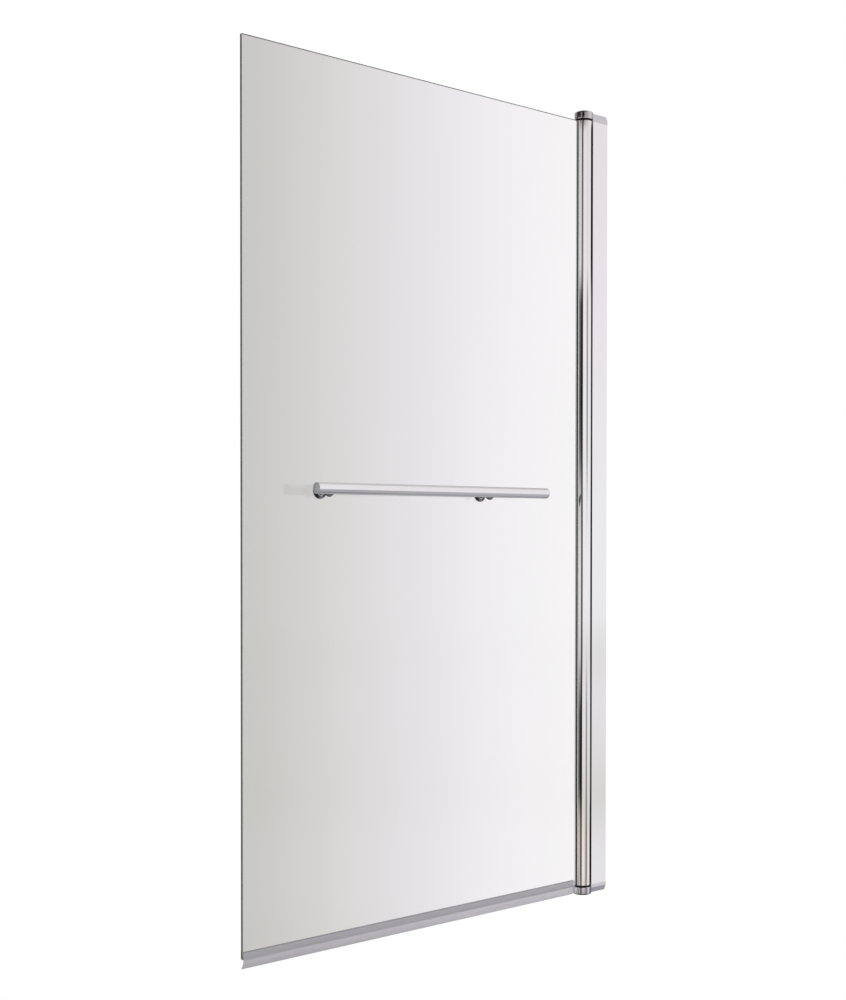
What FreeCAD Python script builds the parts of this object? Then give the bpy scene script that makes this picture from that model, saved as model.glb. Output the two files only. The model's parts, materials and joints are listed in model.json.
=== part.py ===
"""Hinged bath screen: a toughened glass panel that turns on a round hinge barrel beside a wall post.

Millimetres, +Z up. X = 0 is the wall's surface and the screen runs towards -X to its free edge.
Y = 0 is the middle of the glass: -Y is the side of the towel rail, +Y is the side of the bath.
Z = 0 is half way up the glass, and also the middle of the pattern of wall screws.
"""
import FreeCAD, Part
import math
import os

V = FreeCAD.Vector
UP = V(0, 0, 1)
OUTWARD = V(0, -1, 0)
INWARD = V(0, 1, 0)

# ---------------------------------------------------------------- driving dimensions, millimetres
# the whole screen
SCREEN_WIDTH = 790.0
GLASS_HEIGHT = 1400.0
GLASS_THICKNESS = 6.0
GLASS_ARRIS = 0.5
CAP_RISE = 16.5

# hinge barrel, an extrusion with a pocket for the glass
PIVOT_FROM_WALL = 49.0
BARREL_RADIUS = 16.0
BARREL_WALL = 2.2
POCKET_DEPTH = 13.0
POCKET_WALL = 1.8
GASKET_THICKNESS = 1.2
GASKET_LIP = 0.4
BARREL_PORT_RADIUS = 1.55
BARREL_PORT_WALL = 1.4
BARREL_PORT_X = 5.5
BARREL_PORT_Y = 7.0
RIB_THICKNESS = 2.4

# post, an extrusion with a round seat for the barrel
POST_WIDTH = 26.0
POST_WALL = 1.6
POST_OVERHANG = 1.0
SEAT_GAP = 0.6
SEAT_WEB = 1.8
HORN_TIP = 0.5
POST_PORT_RADIUS = 1.9
POST_PORT_WALL = 1.7
POST_PORT_Y = 6.0
WIPER_WIDTH = 1.6
WIPER_PROUD = 0.25
WIPER_DEPTH = 0.8
WIPER_ANGLE = 38.0

# wall channel, which the post slides over
CHANNEL_BASE = 2.0
CHANNEL_WALL = 1.8
CHANNEL_SIDE_GAP = 0.4
CHANNEL_END_GAP = 2.0
CHANNEL_PORT_GAP = 1.2
WALL_HOLE_RADIUS = 2.75
WALL_HOLE_OUTER_SPACING = 1200.0
WALL_HOLE_INNER_SPACING = 400.0

# clamp screws on the bath side, which hold the post where it is set
CLAMP_HEIGHTS = (-500.0, 0.0, 500.0)
CLAMP_FROM_WALL = 8.0
CLAMP_SCREW_RADIUS = 2.0
CLAMP_HEAD_RADIUS = 3.8
CLAMP_HEAD_HEIGHT = 2.4
CLAMP_NUT_SIDE = 10.0
CLAMP_NUT_THICKNESS = 3.0
SLOT_CLEARANCE = 0.35
SLOT_END_WALL = 1.8
COVER_WALL = 1.0
COVER_RIM = 2.0
COVER_CHAMFER = 1.5

# end caps
NOSE_OVERLAP = 1.0
NOSE_PROUD = 1.3
NOSE_CHAMFER = 1.2
CAP_PROUD = 0.3
CAP_BEVEL_IN = 3.8
CAP_BEVEL_HEIGHT = 9.5
CAP_SCREW_RADIUS = 1.85
CAP_SCREW_HEAD = 3.05
CAP_SCREW_GRIP = 20.0

# pivots between the barrel and the caps
THRUST_GAP = 3.5
STUD_RADIUS = 5.0
STUD_PLATE_RADIUS = 12.6
STUD_RISE = 9.0
STUD_SCREW_RADIUS = 1.5
STUD_SCREW_HEAD = 3.3
STUD_SCREW_GRIP = 16.0
BUSH_WALL = 2.95
BUSH_FLANGE = 1.2
BUSH_FLANGE_RADIUS = 12.2
WASHER_INNER_GAP = 0.3
WASHER_EDGE = 0.4

# bottom seal
SEAL_GRIP = 12.7
SEAL_LEG = 1.1
SEAL_WEB = 1.4
SEAL_FIN = 1.2
SEAL_DROP = 16.2
SEAL_LEAN = 2.2
SEAL_BOW = 0.25
SEAL_SET_BACK = 0.8
SEAL_FROM_PIVOT = 24.0

# towel rail
RAIL_RADIUS = 9.0
RAIL_WALL = 1.2
RAIL_LENGTH = 494.0
RAIL_FREE_END = 109.0
RAIL_HEIGHT = 17.0
RAIL_STAND_OFF = 40.0
RAIL_CAP_RIM = 0.6
RAIL_CAP_CROWN = 2.8
RAIL_CAP_SPIGOT = 8.0
BRACKET_INSET = 34.0
BRACKET_SPACING = 339.0
BRACKET_BELOW_RAIL = 2.6
FLANGE_RADIUS = 13.3
FLANGE_HEIGHT = 3.0
FLANGE_CHAMFER = 0.8
NECK_RADIUS = 6.0
SADDLE_RADIUS = 6.4
SADDLE_LENGTH = 6.0
SADDLE_HUG = 3.0
SADDLE_RING_RADIUS = 10.3
SADDLE_RING = 2.5
RAIL_THREAD_RADIUS = 2.95
RAIL_THREAD_REACH = 5.0

# fixings through the glass
GLASS_HOLE_RADIUS = 4.5
GLASS_SCREW_RADIUS = 2.45
GLASS_SCREW_BITE = 10.0
GLASS_SCREW_HEAD = 4.6
GLASS_SCREW_SOCKET = 1.7
PAD_THICKNESS = 1.0
PAD_INSET = 0.5
BACK_DISC_RADIUS = 6.8
BACK_DISC_HEIGHT = 3.2

# clearances
SEAT_CLEARANCE = 0.05
RUNNING_CLEARANCE = 0.05
HEAD_CLEARANCE = 0.2

# ---------------------------------------------------------------- places worked out from the above
GLASS_TOP = GLASS_HEIGHT / 2
GLASS_FACE = GLASS_THICKNESS / 2
PIVOT_X = -PIVOT_FROM_WALL
POCKET_FACE = GLASS_FACE + GASKET_THICKNESS + SEAT_CLEARANCE
POCKET_FLOOR_X = PIVOT_X - BARREL_RADIUS + POCKET_DEPTH
GLASS_INNER_X = POCKET_FLOOR_X - GASKET_THICKNESS - SEAT_CLEARANCE
SEAT_RADIUS = BARREL_RADIUS + SEAT_GAP
POST_FACE = POST_WIDTH / 2
POST_TOP = GLASS_TOP + POST_OVERHANG
HORN_X = PIVOT_X + math.sqrt(SEAT_RADIUS ** 2 - (POST_FACE - HORN_TIP) ** 2)
POST_PORT_OUTER = POST_PORT_RADIUS + POST_PORT_WALL
POST_PORT_X = PIVOT_X + math.sqrt((SEAT_RADIUS + SEAT_WEB) ** 2 - POST_PORT_Y ** 2) + POST_PORT_RADIUS
CHANNEL_FACE = POST_FACE - POST_WALL - CHANNEL_SIDE_GAP
CHANNEL_DEPTH = -(POST_PORT_X + POST_PORT_OUTER) - CHANNEL_PORT_GAP
CHANNEL_TOP = GLASS_TOP - CHANNEL_END_GAP
SLOT_RADIUS = CLAMP_SCREW_RADIUS + SLOT_CLEARANCE
SLOT_TRAVEL = CHANNEL_DEPTH - CLAMP_FROM_WALL - SLOT_RADIUS - SLOT_END_WALL
STUD_PLATE = STUD_SCREW_HEAD - STUD_SCREW_RADIUS
NOSE_RADIUS = BARREL_RADIUS + NOSE_OVERLAP
NOSE_FLOOR = GLASS_TOP + THRUST_GAP
CAP_TOP = GLASS_TOP + CAP_RISE
NOSE_TOP = CAP_TOP + NOSE_PROUD
BUSH_RADIUS = STUD_RADIUS + RUNNING_CLEARANCE + BUSH_WALL
STUD_TOP = NOSE_FLOOR + STUD_RISE
BRACKET_Z = RAIL_HEIGHT - BRACKET_BELOW_RAIL
RAIL_START_X = -SCREEN_WIDTH + RAIL_FREE_END
RAIL_END_X = RAIL_START_X + RAIL_LENGTH
RAIL_Y = -GLASS_FACE - RAIL_STAND_OFF
BRACKETS_X = (RAIL_START_X + BRACKET_INSET, RAIL_START_X + BRACKET_INSET + BRACKET_SPACING)
PAD_FACE = GLASS_FACE + PAD_THICKNESS
BACK_FACE = PAD_FACE + BACK_DISC_HEIGHT
DOME_RADIUS = (RAIL_RADIUS ** 2 + RAIL_CAP_CROWN ** 2) / RAIL_CAP_CROWN / 2


# ---------------------------------------------------------------- small helpers
def block(x0, x1, y0, y1, z0, z1):
    """A box between two corners."""
    return Part.makeBox(x1 - x0, y1 - y0, z1 - z0, V(x0, y0, z0))


def rod(radius, x, y, z0, z1):
    """An upright round bar."""
    return Part.makeCylinder(radius, z1 - z0, V(x, y, z0), UP)


def rod_y(radius, x, z, y0, y1):
    """A round bar along Y."""
    return Part.makeCylinder(radius, y1 - y0, V(x, y0, z), INWARD)


def upright(face, z0, z1):
    """A flat section in the XY plane drawn out between two heights."""
    placed = face.copy()
    placed.translate(V(0, 0, z0))
    return placed.extrude(V(0, 0, z1 - z0))


def polygon(points):
    """A closed flat face through its corners."""
    return Part.Face(Part.makePolygon(points + points[:1]))


def rectangle(x0, x1, y0, y1):
    """A flat rectangular face in the XY plane."""
    return polygon([V(x0, y0, 0), V(x1, y0, 0), V(x1, y1, 0), V(x0, y1, 0)])


def chamfered_end(shape, direction, level, size):
    """Break the circular edges that lie in the plane at this level along a direction."""
    chosen = []
    for edge in shape.Edges:
        if edge.Curve.TypeId == "Part::GeomCircle" and abs(edge.CenterOfMass.dot(direction) - level) < 1e-6:
            chosen.append(edge)
    return shape.makeChamfer(size, chosen)


def countersunk(x, y, top, head_radius, shank_radius, length, direction=V(0, 0, -1)):
    """A countersunk screw whose flat head is flush with the point (x, y, top)."""
    head_depth = head_radius - shank_radius
    start = V(x, y, top)
    head = Part.makeCone(head_radius, shank_radius, head_depth, start, direction)
    shank = Part.makeCylinder(shank_radius, length, start, direction)
    return head.fuse(shank).removeSplitter()


def both_ends(shape):
    """A piece at the top of the screen together with its mirror image at the bottom."""
    return Part.makeCompound([shape, shape.mirror(V(0, 0, 0), UP)])


# ---------------------------------------------------------------- fixed to the wall
def wall_channel():
    """Open channel screwed to the wall, with slots that the clamp screws slide along."""
    depth = CHANNEL_DEPTH
    outer = rectangle(-depth, 0, -CHANNEL_FACE, CHANNEL_FACE)
    inner_face = CHANNEL_FACE - CHANNEL_WALL
    inner = rectangle(-depth, -CHANNEL_BASE, -inner_face, inner_face)
    channel = upright(outer.cut(inner), -CHANNEL_TOP, CHANNEL_TOP)
    for spacing in (WALL_HOLE_OUTER_SPACING, WALL_HOLE_INNER_SPACING):
        for z in (-spacing / 2, spacing / 2):
            hole = Part.makeCylinder(WALL_HOLE_RADIUS, CHANNEL_BASE, V(-CHANNEL_BASE, 0, z), V(1, 0, 0))
            channel = channel.cut(hole)
    for z in CLAMP_HEIGHTS:
        near = rod_y(SLOT_RADIUS, -CLAMP_FROM_WALL, z, inner_face, CHANNEL_FACE)
        far = rod_y(SLOT_RADIUS, -CLAMP_FROM_WALL - SLOT_TRAVEL, z, inner_face, CHANNEL_FACE)
        middle = block(-CLAMP_FROM_WALL - SLOT_TRAVEL, -CLAMP_FROM_WALL, inner_face, CHANNEL_FACE,
                       z - SLOT_RADIUS, z + SLOT_RADIUS)
        channel = channel.cut(near.fuse([far, middle]))
    return channel


# ---------------------------------------------------------------- the post and what it carries
def post_profile():
    """Box extrusion, open to the wall, with a round seat in front and two screw ports behind the seat."""
    ends = (-POST_TOP, POST_TOP)
    wall_face = POST_FACE - POST_WALL
    post = block(HORN_X, 0, -POST_FACE, POST_FACE, *ends)
    hollow = block(PIVOT_X, 0, -wall_face, wall_face, *ends)
    post = post.cut(hollow.cut(rod(SEAT_RADIUS + SEAT_WEB, PIVOT_X, 0, *ends)))
    ports = [rod(POST_PORT_OUTER, POST_PORT_X, side * POST_PORT_Y, *ends) for side in (-1, 1)]
    post = post.fuse(ports).cut(rod(SEAT_RADIUS, PIVOT_X, 0, *ends))
    for side in (-1, 1):
        post = post.cut(rod(POST_PORT_RADIUS, POST_PORT_X, side * POST_PORT_Y, *ends))
    post = post.removeSplitter()
    for side in (-1, 1):
        post = post.cut(wiper_strip(side, SEAT_CLEARANCE))
    for z in CLAMP_HEIGHTS:
        hole = rod_y(CLAMP_SCREW_RADIUS + SEAT_CLEARANCE, -CLAMP_FROM_WALL, z, 0, POST_FACE)
        post = post.cut(hole)
    return post


def wiper_strip(side, growth=0.0):
    """A strip that lies in a groove of the seat, or the groove itself when it is grown."""
    half = WIPER_WIDTH / 2 + growth
    strip = block(PIVOT_X + SEAT_RADIUS - WIPER_PROUD, PIVOT_X + SEAT_RADIUS + WIPER_DEPTH + growth,
                  -half, half, -POST_TOP, POST_TOP)
    strip.rotate(V(PIVOT_X, 0, 0), UP, side * WIPER_ANGLE)
    return strip


def barrel_wipers():
    """Two soft strips in the post's seat that close the seam beside the barrel."""
    return Part.makeCompound([wiper_strip(-1), wiper_strip(1)])


def cap_tail():
    """The part of a cap that covers the post: upright sides, then a bevel up to a narrower top."""
    face = POST_FACE + CAP_PROUD
    bevel_start = CAP_TOP - CAP_BEVEL_HEIGHT
    outline = polygon([
        V(PIVOT_X, -face, POST_TOP),
        V(PIVOT_X, face, POST_TOP),
        V(PIVOT_X, face, bevel_start),
        V(PIVOT_X, face - CAP_BEVEL_IN, CAP_TOP),
        V(PIVOT_X, -face + CAP_BEVEL_IN, CAP_TOP),
        V(PIVOT_X, -face, bevel_start),
    ])
    tail = outline.extrude(V(PIVOT_FROM_WALL, 0, 0))
    return tail.cut(rod(SEAT_RADIUS, PIVOT_X, 0, POST_TOP, NOSE_FLOOR))


def end_cap():
    """Cast cap: a round nose over the barrel's end, a slightly lower bevelled tail over the post's end."""
    nose = rod(NOSE_RADIUS, PIVOT_X, 0, NOSE_FLOOR, NOSE_TOP)
    nose = chamfered_end(nose, UP, NOSE_TOP, NOSE_CHAMFER)
    front = block(PIVOT_X, HORN_X, -NOSE_RADIUS, NOSE_RADIUS, POST_TOP, NOSE_FLOOR)
    cap = nose.fuse(cap_tail().cut(front)).removeSplitter()
    cap = cap.cut(rod(BUSH_RADIUS + SEAT_CLEARANCE, PIVOT_X, 0, NOSE_FLOOR, STUD_TOP + HEAD_CLEARANCE))
    for side in (-1, 1):
        y = side * POST_PORT_Y
        screw = countersunk(POST_PORT_X, y, CAP_TOP, CAP_SCREW_HEAD + SEAT_CLEARANCE,
                            CAP_SCREW_RADIUS + SEAT_CLEARANCE, CAP_TOP - POST_TOP)
        cap = cap.cut(screw)
    return cap


def cap_screws():
    """Two countersunk screws that hold a cap on the post's screw ports."""
    length = CAP_TOP - POST_TOP + CAP_SCREW_GRIP
    screws = []
    for side in (-1, 1):
        screws.append(countersunk(POST_PORT_X, side * POST_PORT_Y, CAP_TOP, CAP_SCREW_HEAD,
                                  CAP_SCREW_RADIUS, length))
    return Part.makeCompound(screws)


def pivot_bush():
    """Flanged plastic bush in the cap's nose, the bearing of the pivot stud."""
    body = rod(BUSH_RADIUS, PIVOT_X, 0, NOSE_FLOOR, STUD_TOP)
    flange = rod(BUSH_FLANGE_RADIUS, PIVOT_X, 0, NOSE_FLOOR - BUSH_FLANGE, NOSE_FLOOR)
    bore = rod(STUD_RADIUS + RUNNING_CLEARANCE, PIVOT_X, 0, NOSE_FLOOR - BUSH_FLANGE, STUD_TOP)
    return body.fuse(flange).cut(bore)


def clamp_screws():
    """Flat-topped screws through the post's bath side and the channel's slots."""
    tip = CHANNEL_FACE - CHANNEL_WALL - CLAMP_NUT_THICKNESS - SEAT_CLEARANCE
    screws = []
    for z in CLAMP_HEIGHTS:
        shank = rod_y(CLAMP_SCREW_RADIUS, -CLAMP_FROM_WALL, z, tip, POST_FACE)
        head = rod_y(CLAMP_HEAD_RADIUS, -CLAMP_FROM_WALL, z, POST_FACE, POST_FACE + CLAMP_HEAD_HEIGHT)
        screws.append(shank.fuse(head).removeSplitter())
    return Part.makeCompound(screws)


def clamp_nuts():
    """Square nuts inside the wall channel, drawn up by the clamp screws."""
    face = CHANNEL_FACE - CHANNEL_WALL - SEAT_CLEARANCE
    half = CLAMP_NUT_SIDE / 2
    nuts = []
    for z in CLAMP_HEIGHTS:
        nut = block(-CLAMP_FROM_WALL - half, -CLAMP_FROM_WALL + half, face - CLAMP_NUT_THICKNESS, face,
                    z - half, z + half)
        nuts.append(nut.cut(rod_y(CLAMP_SCREW_RADIUS + SEAT_CLEARANCE, -CLAMP_FROM_WALL, z, 0, face)))
    return Part.makeCompound(nuts)


def clamp_screw_covers():
    """Snap-on covers over the clamp screws' heads."""
    cavity_radius = CLAMP_HEAD_RADIUS + HEAD_CLEARANCE
    cavity_top = POST_FACE + CLAMP_HEAD_HEIGHT + HEAD_CLEARANCE
    covers = []
    for z in CLAMP_HEIGHTS:
        radius = cavity_radius + COVER_RIM
        top = cavity_top + COVER_WALL
        cover = rod_y(radius, -CLAMP_FROM_WALL, z, POST_FACE, top)
        cover = chamfered_end(cover, INWARD, top, COVER_CHAMFER)
        covers.append(cover.cut(rod_y(cavity_radius, -CLAMP_FROM_WALL, z, POST_FACE, cavity_top)))
    return Part.makeCompound(covers)


# ---------------------------------------------------------------- the panel that turns
def barrel_port(side):
    """A screw port in the barrel, with the rib that joins it to the wall."""
    ends = (-GLASS_TOP, GLASS_TOP)
    port = rod(BARREL_PORT_RADIUS + BARREL_PORT_WALL, PIVOT_X + BARREL_PORT_X, side * BARREL_PORT_Y, *ends)
    reach = BARREL_RADIUS - BARREL_WALL / 2
    rib = block(PIVOT_X + math.hypot(BARREL_PORT_X, BARREL_PORT_Y), PIVOT_X + reach,
                -RIB_THICKNESS / 2, RIB_THICKNESS / 2, *ends)
    rib.rotate(V(PIVOT_X, 0, 0), UP, math.degrees(math.atan2(side * BARREL_PORT_Y, BARREL_PORT_X)))
    return port.fuse(rib)


def hinge_barrel():
    """Round extrusion that turns in the post's seat: a pocket for the glass and two screw ports."""
    ends = (-GLASS_TOP, GLASS_TOP)
    pocket_outer = POCKET_FACE + POCKET_WALL
    bore = rod(BARREL_RADIUS - BARREL_WALL, PIVOT_X, 0, *ends)
    pocket_floor = POCKET_FLOOR_X + POCKET_WALL
    bore = bore.cut(block(PIVOT_X - BARREL_RADIUS, pocket_floor, -pocket_outer, pocket_outer, *ends))
    barrel = rod(BARREL_RADIUS, PIVOT_X, 0, *ends).cut(bore)
    barrel = barrel.fuse([barrel_port(-1), barrel_port(1)])
    barrel = barrel.cut(block(PIVOT_X - 2 * BARREL_RADIUS, POCKET_FLOOR_X, -POCKET_FACE, POCKET_FACE, *ends))
    for x, y in stud_screw_places():
        barrel = barrel.cut(rod(BARREL_PORT_RADIUS, x, y, *ends))
    return barrel.removeSplitter()


def glass_gasket():
    """Folded strip that lines the barrel's pocket and grips the glass."""
    mouth = PIVOT_X - math.sqrt(BARREL_RADIUS ** 2 - POCKET_FACE ** 2) - GASKET_LIP
    outer_face = GLASS_FACE + GASKET_THICKNESS
    outer = rectangle(mouth, POCKET_FLOOR_X, -outer_face, outer_face)
    inner = rectangle(mouth, POCKET_FLOOR_X - GASKET_THICKNESS, -GLASS_FACE, GLASS_FACE)
    return upright(outer.cut(inner), -GLASS_TOP, GLASS_TOP)


def glass_panel():
    """Toughened glass with ground arrises and two holes for the towel rail."""
    pane = block(-SCREEN_WIDTH, GLASS_INNER_X, -GLASS_FACE, GLASS_FACE, -GLASS_TOP, GLASS_TOP)
    pane = pane.makeChamfer(GLASS_ARRIS, pane.Edges)
    for x in BRACKETS_X:
        pane = pane.cut(rod_y(GLASS_HOLE_RADIUS, x, BRACKET_Z, -GLASS_FACE, GLASS_FACE))
    return pane


def stud_screw_places():
    """Where the screws of a pivot stud enter the barrel's ports."""
    return [(PIVOT_X + BARREL_PORT_X, side * BARREL_PORT_Y) for side in (-1, 1)]


def pivot_stud():
    """Round plate screwed on the barrel's end, with the shaft that turns in the cap's bush."""
    plate = rod(STUD_PLATE_RADIUS, PIVOT_X, 0, GLASS_TOP, GLASS_TOP + STUD_PLATE)
    shaft = rod(STUD_RADIUS, PIVOT_X, 0, GLASS_TOP, STUD_TOP - HEAD_CLEARANCE)
    stud = plate.fuse(shaft).removeSplitter()
    for x, y in stud_screw_places():
        stud = stud.cut(countersunk(x, y, GLASS_TOP + STUD_PLATE, STUD_SCREW_HEAD + SEAT_CLEARANCE,
                                    STUD_SCREW_RADIUS + SEAT_CLEARANCE, STUD_PLATE))
    return stud


def pivot_stud_screws():
    """Two countersunk screws that hold a pivot stud on the barrel."""
    top = GLASS_TOP + STUD_PLATE
    screws = []
    for x, y in stud_screw_places():
        screws.append(countersunk(x, y, top, STUD_SCREW_HEAD, STUD_SCREW_RADIUS, STUD_SCREW_GRIP))
    return Part.makeCompound(screws)


def thrust_washer():
    """Black ring that fills the gap between the barrel's end and the cap's nose."""
    top = NOSE_FLOOR - HEAD_CLEARANCE
    ring = rod(BARREL_RADIUS - WASHER_EDGE, PIVOT_X, 0, GLASS_TOP, top)
    return ring.cut(rod(STUD_PLATE_RADIUS + WASHER_INNER_GAP, PIVOT_X, 0, GLASS_TOP, top))


def fin_section(y_root, z_root):
    """The seal's curved fin in the YZ plane, from below the glass to its tip."""
    y_tip = SEAL_LEAN
    z_tip = -GLASS_TOP - SEAL_DROP
    y_mid = y_root + (y_tip - y_root) * SEAL_BOW
    z_mid = (z_root + z_tip) / 2
    edges = [
        Part.Arc(V(0, y_root, z_root), V(0, y_mid, z_mid), V(0, y_tip, z_tip)).toShape(),
        Part.LineSegment(V(0, y_tip, z_tip), V(0, y_tip + SEAL_FIN, z_tip)).toShape(),
        Part.Arc(V(0, y_tip + SEAL_FIN, z_tip), V(0, y_mid + SEAL_FIN, z_mid),
                 V(0, y_root + SEAL_FIN, z_root)).toShape(),
        Part.LineSegment(V(0, y_root + SEAL_FIN, z_root), V(0, y_root, z_root)).toShape(),
    ]
    return Part.Face(Part.Wire(edges))


def bottom_seal():
    """Clear drip seal pushed on the glass's lower edge: two legs, a web and a fin that leans to the bath."""
    start = -SCREEN_WIDTH + SEAL_SET_BACK
    end = PIVOT_X - SEAL_FROM_PIVOT
    leg_inner = GLASS_FACE + SEAT_CLEARANCE
    leg_outer = leg_inner + SEAL_LEG
    floor = -GLASS_TOP
    grip = block(start, end, -leg_outer, leg_outer, floor - SEAL_WEB, floor + SEAL_GRIP)
    grip = grip.cut(block(start, end, -leg_inner, leg_inner, floor, floor + SEAL_GRIP))
    fin = fin_section(-leg_outer, floor - SEAL_WEB / 2)
    fin.translate(V(start, 0, 0))
    return grip.fuse(fin.extrude(V(end - start, 0, 0))).removeSplitter()


def rail_tube():
    """Round rail with two tapped holes for its posts."""
    tube = Part.makeCylinder(RAIL_RADIUS, RAIL_LENGTH, V(RAIL_START_X, RAIL_Y, RAIL_HEIGHT), V(1, 0, 0))
    bore = Part.makeCylinder(RAIL_RADIUS - RAIL_WALL, RAIL_LENGTH, V(RAIL_START_X, RAIL_Y, RAIL_HEIGHT),
                             V(1, 0, 0))
    tube = tube.cut(bore)
    for x in BRACKETS_X:
        tube = tube.cut(rod_y(RAIL_THREAD_RADIUS + SEAT_CLEARANCE, x, BRACKET_Z, RAIL_Y, -GLASS_FACE))
    return tube


def rail_end_caps():
    """Push-in end caps of the rail: a spigot, a short rim and a low dome, turned in one profile."""
    spigot = RAIL_RADIUS - RAIL_WALL - SEAT_CLEARANCE
    rim = V(RAIL_RADIUS, 0, RAIL_CAP_RIM)
    top = V(0, 0, RAIL_CAP_RIM + RAIL_CAP_CROWN)
    half_way = math.asin(RAIL_RADIUS / DOME_RADIUS) / 2
    middle = top + V(math.sin(half_way), 0, math.cos(half_way) - 1) * DOME_RADIUS
    corners = [top, V(0, 0, -RAIL_CAP_SPIGOT), V(spigot, 0, -RAIL_CAP_SPIGOT), V(spigot, 0, 0),
               V(RAIL_RADIUS, 0, 0), rim]
    outline = [Part.LineSegment(a, b).toShape() for a, b in zip(corners, corners[1:])]
    outline.append(Part.Arc(rim, middle, top).toShape())
    turned = Part.Face(Part.Wire(outline)).revolve(V(0, 0, 0), UP, 360)
    caps = []
    for end_x, direction in ((RAIL_START_X, -1), (RAIL_END_X, 1)):
        cap = turned.copy()
        cap.rotate(V(0, 0, 0), INWARD, 90 * direction)
        cap.translate(V(end_x, RAIL_Y, RAIL_HEIGHT))
        caps.append(cap)
    return Part.makeCompound(caps)


def rail_posts():
    """Turned posts: a flange on the glass, a neck, and a threaded end that enters the rail."""
    flange_top = -PAD_FACE - FLANGE_HEIGHT
    neck_end = RAIL_Y + RAIL_RADIUS + SADDLE_LENGTH
    tip = RAIL_Y + RAIL_RADIUS - RAIL_THREAD_REACH
    bore_end = -PAD_FACE - GLASS_SCREW_BITE - HEAD_CLEARANCE
    posts = []
    for x in BRACKETS_X:
        flange = rod_y(FLANGE_RADIUS, x, BRACKET_Z, flange_top, -PAD_FACE)
        flange = chamfered_end(flange, INWARD, flange_top, FLANGE_CHAMFER)
        neck = rod_y(NECK_RADIUS, x, BRACKET_Z, neck_end, -PAD_FACE)
        thread = rod_y(RAIL_THREAD_RADIUS, x, BRACKET_Z, tip, -PAD_FACE)
        post = flange.fuse([neck, thread]).removeSplitter()
        bore = rod_y(GLASS_SCREW_RADIUS + SEAT_CLEARANCE, x, BRACKET_Z, bore_end, -PAD_FACE)
        posts.append(post.cut(bore))
    return Part.makeCompound(posts)


def rail_saddles():
    """Ringed collars between the posts and the rail, hollowed to the rail's curve."""
    back = RAIL_Y + RAIL_RADIUS + SADDLE_LENGTH
    front = RAIL_Y + RAIL_RADIUS - SADDLE_HUG
    rail = Part.makeCylinder(RAIL_RADIUS, RAIL_LENGTH, V(RAIL_START_X, RAIL_Y, RAIL_HEIGHT), V(1, 0, 0))
    saddles = []
    for x in BRACKETS_X:
        ring = rod_y(SADDLE_RING_RADIUS, x, BRACKET_Z, back - SADDLE_RING, back)
        ring = chamfered_end(ring, INWARD, back, FLANGE_CHAMFER)
        collar = ring.fuse(rod_y(SADDLE_RADIUS, x, BRACKET_Z, front, back)).removeSplitter()
        hole = rod_y(RAIL_THREAD_RADIUS + SEAT_CLEARANCE, x, BRACKET_Z, front, back)
        saddles.append(collar.cut(rail).cut(hole))
    return Part.makeCompound(saddles)


def glass_bushes():
    """Clear flanged sleeves: the flange lies under the post, the sleeve keeps the screw off the glass."""
    bushes = []
    for x in BRACKETS_X:
        flange = rod_y(FLANGE_RADIUS - PAD_INSET, x, BRACKET_Z, -PAD_FACE, -GLASS_FACE)
        sleeve = rod_y(GLASS_HOLE_RADIUS - SEAT_CLEARANCE, x, BRACKET_Z, -PAD_FACE, GLASS_FACE)
        bore = rod_y(GLASS_SCREW_RADIUS + SEAT_CLEARANCE, x, BRACKET_Z, -PAD_FACE, GLASS_FACE)
        bushes.append(flange.fuse(sleeve).cut(bore).removeSplitter())
    return Part.makeCompound(bushes)


def back_pads():
    """Thin clear rings between the glass and the discs on the bath side."""
    pads = []
    for x in BRACKETS_X:
        ring = rod_y(BACK_DISC_RADIUS - PAD_INSET, x, BRACKET_Z, GLASS_FACE, PAD_FACE)
        pads.append(ring.cut(rod_y(GLASS_SCREW_RADIUS + SEAT_CLEARANCE, x, BRACKET_Z, GLASS_FACE, PAD_FACE)))
    return Part.makeCompound(pads)


def back_discs():
    """Discs on the bath side that spread the load of the fixing screws."""
    discs = []
    for x in BRACKETS_X:
        plate = rod_y(BACK_DISC_RADIUS, x, BRACKET_Z, PAD_FACE, BACK_FACE)
        plate = chamfered_end(plate, INWARD, BACK_FACE, FLANGE_CHAMFER)
        discs.append(plate.cut(glass_screw_body(x, SEAT_CLEARANCE)))
    return Part.makeCompound(discs)


def glass_screw_body(x, growth=0.0):
    """The plain form of a fixing screw, or of its hole when it is grown."""
    shank = GLASS_SCREW_RADIUS + growth
    head = GLASS_SCREW_HEAD + growth
    tip = -PAD_FACE - GLASS_SCREW_BITE
    cone = Part.makeCone(head, shank, head - shank, V(x, BACK_FACE, BRACKET_Z), OUTWARD)
    return cone.fuse(rod_y(shank, x, BRACKET_Z, tip, BACK_FACE)).removeSplitter()


def glass_fixing_screws():
    """Countersunk socket screws that pull the rail's posts against the glass."""
    screws = []
    for x in BRACKETS_X:
        socket = Part.Face(Part.Wire(Part.makePolygon([
            V(x + GLASS_SCREW_SOCKET * math.cos(math.radians(60 * i)), BACK_FACE,
              BRACKET_Z + GLASS_SCREW_SOCKET * math.sin(math.radians(60 * i))) for i in range(7)])))
        recess = socket.extrude(OUTWARD * GLASS_SCREW_SOCKET)
        screws.append(glass_screw_body(x).cut(recess))
    return Part.makeCompound(screws)


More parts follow.
